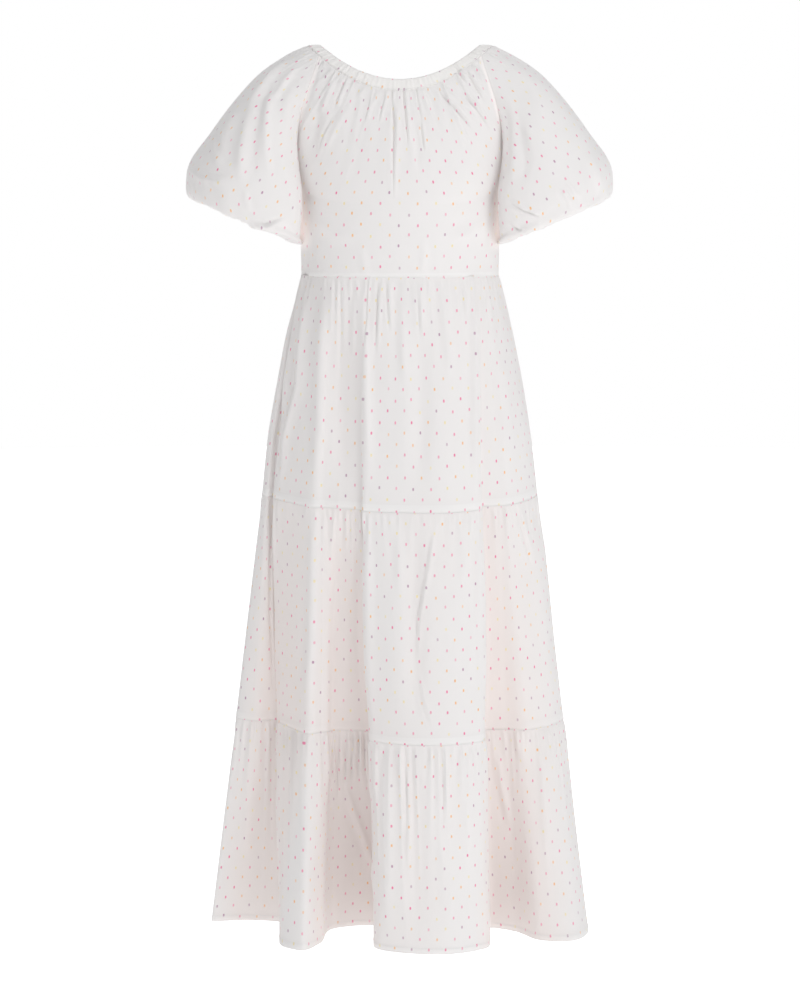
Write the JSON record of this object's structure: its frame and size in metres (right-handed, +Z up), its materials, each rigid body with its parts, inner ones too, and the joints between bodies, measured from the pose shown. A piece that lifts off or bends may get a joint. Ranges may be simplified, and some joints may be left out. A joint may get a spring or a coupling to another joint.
{
  "type": "maxi dress",
  "caption": "Long tiered dress with an elastic gathered neckline, puffed short raglan sleeves and a full folded skirt, hollow and filled out as worn.",
  "frame": {"origin": "middle of the neck opening, at the height of the shoulders, where the wearer holds the dress up", "axes": "+Z up, -Y out of the front, +X towards the wearer's left"},
  "size_m": [0.606, 0.361, 1.2628],
  "materials": {
    "cloth": "matt white cotton voile with small woven-in flecks of coloured thread",
    "casing": "the same voile, doubled over elastic and finely gathered"
  },
  "bodies": {
    "root": {"neck_casing": "casing", "bodice_front": "cloth", "bodice_back": "cloth", "sleeve_left": "cloth", "sleeve_right": "cloth", "cuff_left": "casing", "cuff_right": "casing", "skirt_tier1_front": "cloth", "skirt_tier1_back": "cloth", "skirt_tier2_front": "cloth", "skirt_tier2_back": "cloth", "skirt_tier3_front": "cloth", "skirt_tier3_back": "cloth"}
  },
  "joints": []
}
